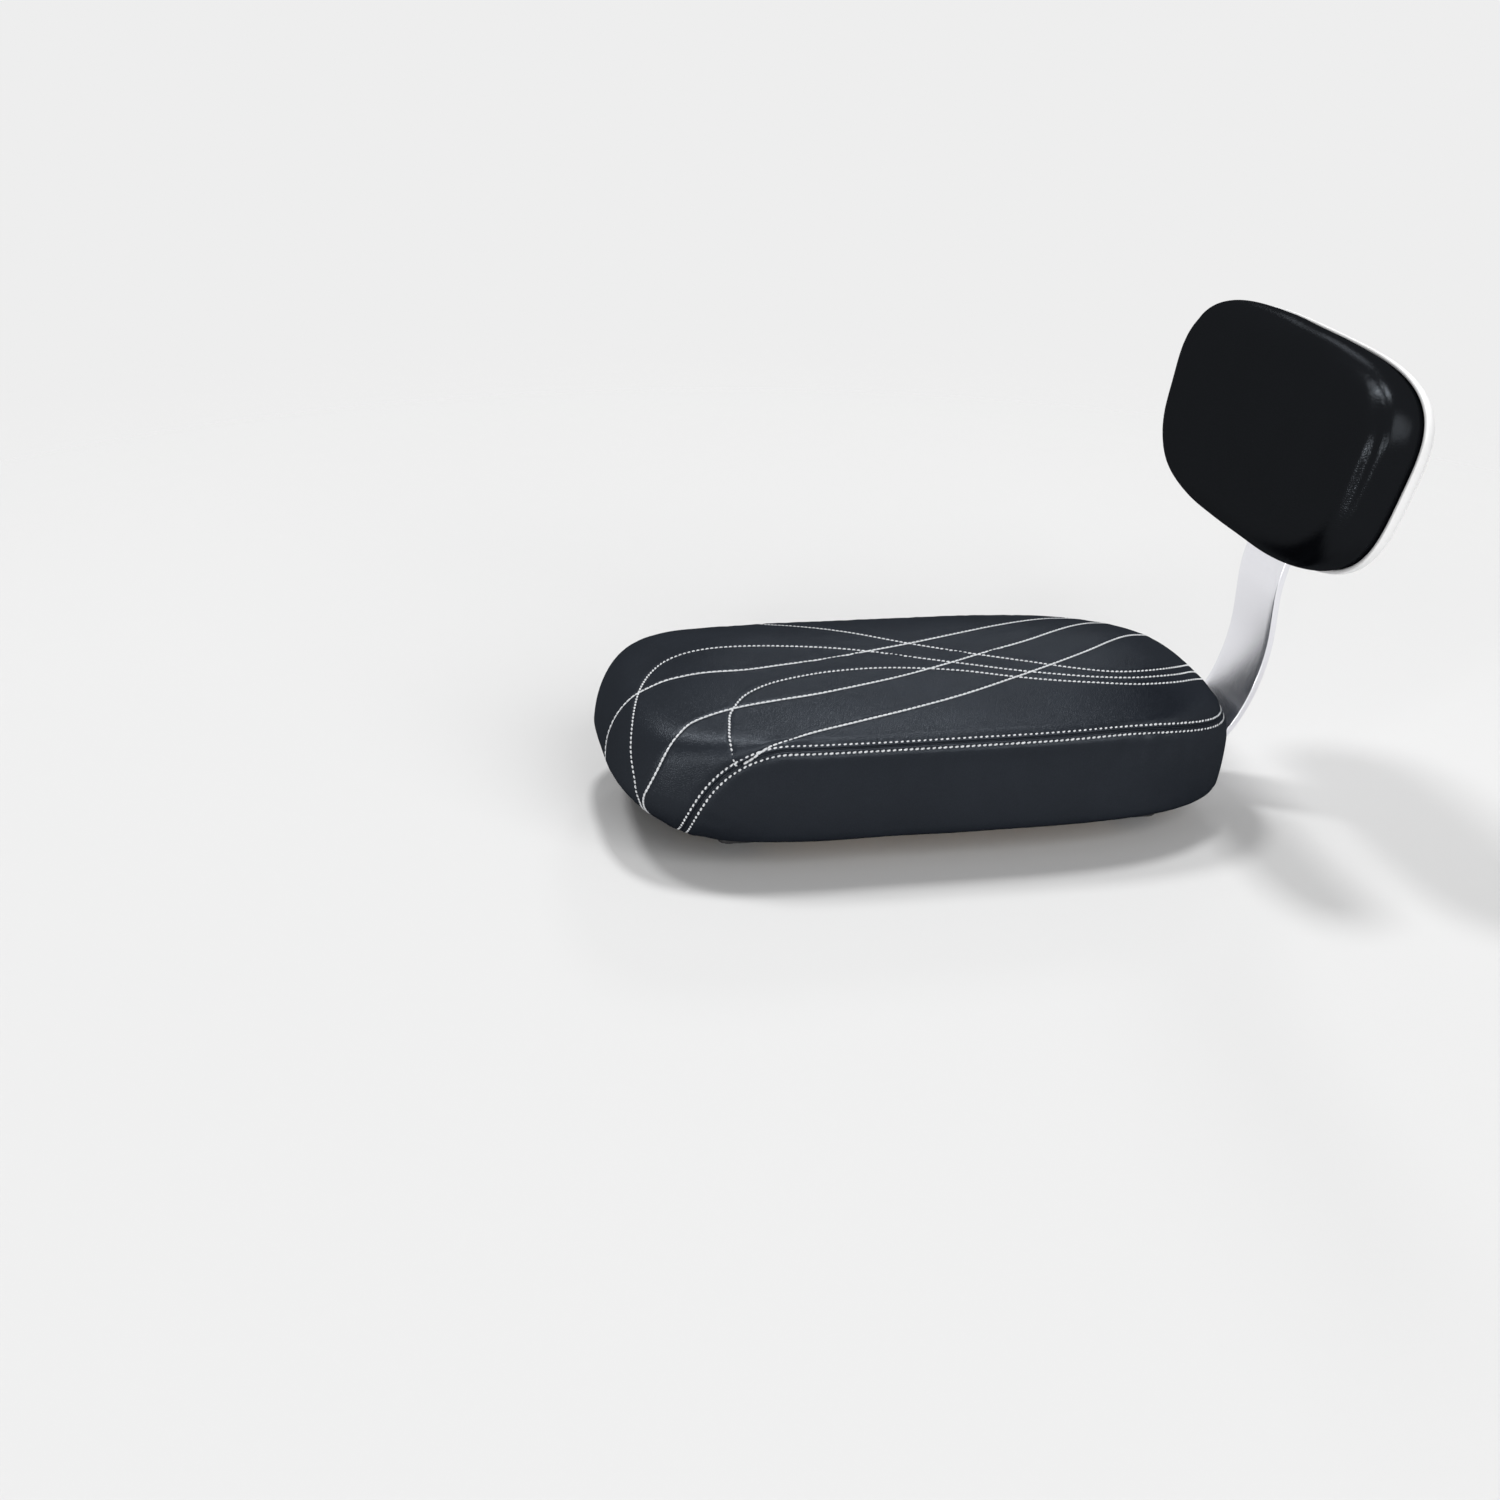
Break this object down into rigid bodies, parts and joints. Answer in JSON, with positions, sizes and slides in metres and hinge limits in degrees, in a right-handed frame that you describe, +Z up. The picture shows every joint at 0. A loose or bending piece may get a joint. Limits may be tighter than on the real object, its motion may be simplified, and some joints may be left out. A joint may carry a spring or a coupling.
{
  "type": "bicycle rear rack seat cushion with backrest",
  "caption": "Long padded cushion in black stitched leatherette that clamps on a rear rack, with a small reclined pad in a white back dish on a bent flat strip behind it.",
  "frame": {"origin": "centre of the base board's underside, which lies on the rack", "axes": "+X to the rear of the bicycle, where the backrest stands; +Z up; the part is the same on both sides of Y = 0"},
  "size_m": [0.4162, 0.2432, 0.2733],
  "materials": {
    "black_leatherette": "soft grained leatherette, satin",
    "gloss_leatherette": "smooth leatherette, glossy",
    "grey_foam": "open foam",
    "plywood": "plain plywood",
    "satin_chrome": "satin chrome plated",
    "white_plastic": "gloss",
    "black_paint": "satin paint",
    "zinc": "zinc plated"
  },
  "bodies": {
    "root": {"seat_top_panel": "black_leatherette", "seat_side_band": "black_leatherette", "seat_foam": "grey_foam", "seat_base_board": "plywood", "backrest_bracket": "satin_chrome", "backrest_shell": "white_plastic", "backrest_board": "plywood", "backrest_foam": "grey_foam", "backrest_cover": "gloss_leatherette", "front_clamp_plate": "black_paint", "rear_clamp_plate": "black_paint", "clamp_bolt_1": "zinc", "clamp_washer_1": "zinc", "clamp_nut_1": "zinc", "clamp_bolt_2": "zinc", "clamp_washer_2": "zinc", "clamp_nut_2": "zinc", "clamp_bolt_3": "zinc", "clamp_washer_3": "zinc", "clamp_nut_3": "zinc", "clamp_bolt_4": "zinc", "clamp_washer_4": "zinc", "clamp_nut_4": "zinc", "foot_screw_1": "zinc", "foot_nut_1": "zinc", "foot_screw_2": "zinc", "foot_nut_2": "zinc", "backrest_screw_1": "zinc", "backrest_washer_1": "zinc", "backrest_nut_1": "zinc", "backrest_screw_2": "zinc", "backrest_washer_2": "zinc", "backrest_nut_2": "zinc", "backrest_screw_3": "zinc", "backrest_washer_3": "zinc", "backrest_nut_3": "zinc"}
  },
  "joints": []
}
